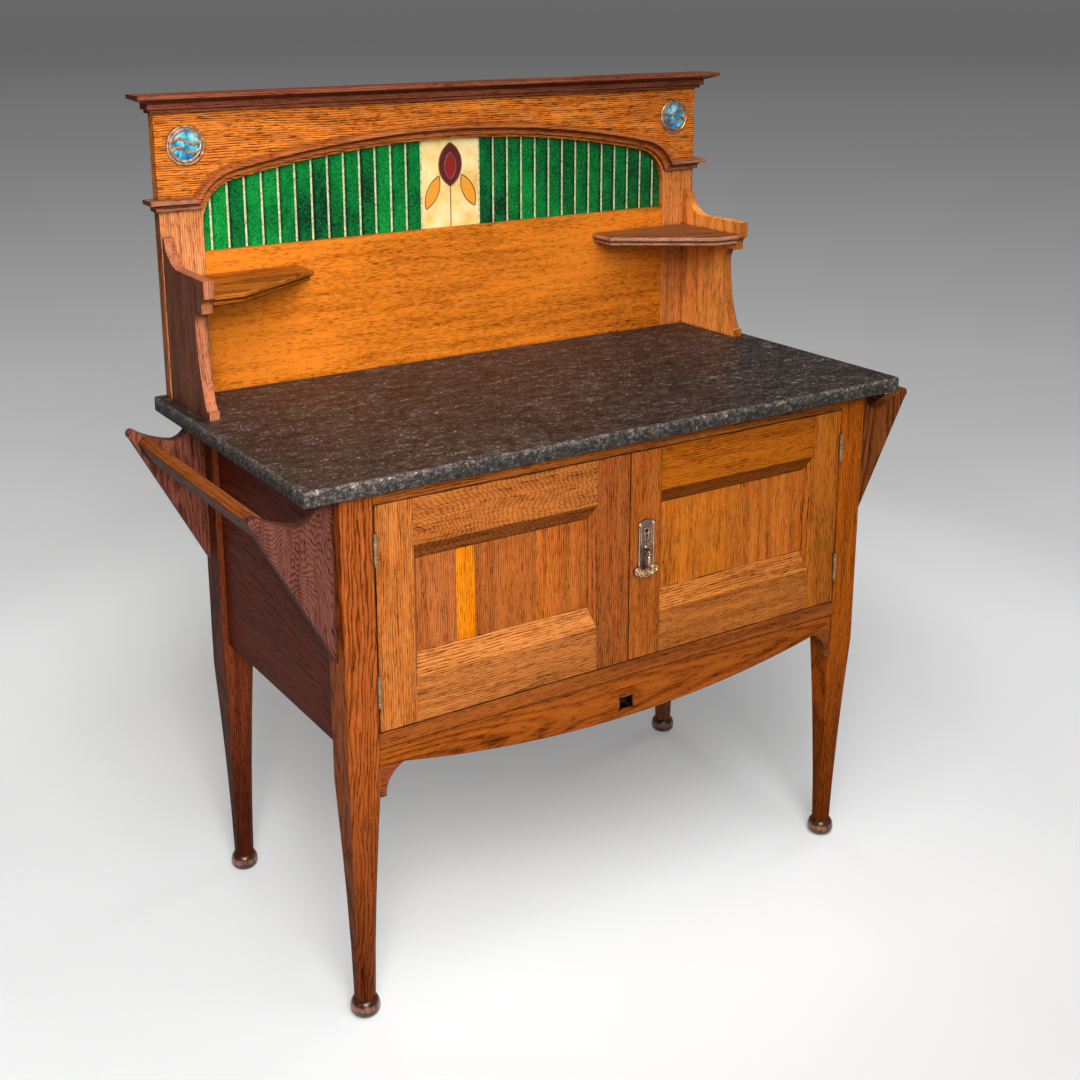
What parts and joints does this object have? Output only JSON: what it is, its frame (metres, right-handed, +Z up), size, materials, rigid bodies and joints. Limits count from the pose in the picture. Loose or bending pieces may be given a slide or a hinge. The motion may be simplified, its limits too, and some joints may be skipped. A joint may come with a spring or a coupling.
{
  "type": "washstand",
  "caption": "Oak washstand with a stone top, arched tiled splashback with corner shelves, towel rails at both ends and a two-door cupboard on tapered legs.",
  "frame": {"origin": "on the floor, under the middle of the stone top", "axes": "+Z up, -Y out of the doors, +X to the right when facing the doors"},
  "size_m": [1.1144, 0.524, 1.2165],
  "materials": {
    "oak": "waxed golden oak",
    "dark_oak": "darker waxed oak",
    "inner_wood": "unpolished softwood",
    "fossil_stone": "honed dark fossil marble",
    "green_glaze": "mottled green glaze",
    "tile_cement": "cream joint",
    "cream_glaze": "cream pictorial glaze",
    "copper": "aged copper",
    "enamel": "blue enamel",
    "hinge_brass": "tarnished brass",
    "old_brass": "antique brass",
    "iron": "dark iron"
  },
  "bodies": {
    "carcass": {"leg_front_left": "oak", "leg_front_right": "oak", "leg_back_left": "oak", "leg_back_right": "oak", "front_top_rail": "oak", "front_bottom_rail": "oak", "apron": "oak", "apron_ears": "oak", "splash_stile_left": "oak", "splash_stile_right": "oak", "lower_panel": "oak", "frieze_board": "oak", "arch_moulding": "oak", "ledge_mouldings": "oak", "cornice": "oak", "end_bracket_left": "oak", "end_bracket_right": "oak", "corner_shelf_left": "oak", "corner_shelf_right": "oak", "side_panel_left": "dark_oak", "side_panel_right": "dark_oak", "towel_bracket_front_left": "dark_oak", "towel_bracket_front_right": "dark_oak", "towel_bracket_back_left": "dark_oak", "towel_bracket_back_right": "dark_oak", "towel_rail_left": "dark_oak", "towel_rail_right": "dark_oak", "cupboard_floor": "inner_wood", "floor_and_top_bearers": "inner_wood", "back_top_rail": "inner_wood", "back_bottom_rail": "inner_wood", "back_boards": "inner_wood", "tile_backing_board": "inner_wood", "splash_posts": "inner_wood", "stone_top": "fossil_stone", "green_tiles": "green_glaze", "tile_joints": "tile_cement", "centre_tile": "cream_glaze", "roundel_rims": "copper", "roundel_enamels": "enamel", "hinge_leaves_on_legs": "hinge_brass"},
    "left_door": {"left_door_hinge_stile": "oak", "left_door_meeting_stile": "oak", "left_door_top_rail": "oak", "left_door_bottom_rail": "oak", "left_door_panel": "oak", "left_door_hinge_leaves": "hinge_brass", "left_door_bolt_plate": "iron"},
    "right_door": {"right_door_hinge_stile": "oak", "right_door_meeting_stile": "oak", "right_door_top_rail": "oak", "right_door_bottom_rail": "oak", "right_door_panel": "oak", "right_door_hinge_leaves": "hinge_brass", "handle_backplate": "old_brass", "lock_case": "iron"},
    "drop_pull": {"drop_pull": "old_brass"},
    "lock_bolt": {"lock_bolt": "iron"},
    "left_bolt": {"left_door_bolt": "iron"}
  },
  "joints": [
    {"name": "left_door_hinge", "type": "hinge", "parent": "carcass", "child": "left_door", "pos_m": [-0.3985, -0.2456, 0.581], "axis": [0, 0, -1], "range_deg": [0, 165]},
    {"name": "right_door_hinge", "type": "hinge", "parent": "carcass", "child": "right_door", "pos_m": [0.3985, -0.2456, 0.581], "axis": [0, 0, 1], "range_deg": [0, 165]},
    {"name": "drop_pull_swing", "type": "hinge", "parent": "right_door", "child": "drop_pull", "pos_m": [0.028, -0.2526, 0.5865], "axis": [-1, 0, 0], "range_deg": [0, 75]},
    {"name": "lock_bolt_slide", "type": "slide", "parent": "right_door", "child": "lock_bolt", "axis": [-1, 0, 0], "range_m": [0, 0.009]},
    {"name": "left_bolt_slide", "type": "slide", "parent": "left_door", "child": "left_bolt", "axis": [0, 0, 1], "range_m": [0, 0.009]}
  ]
}
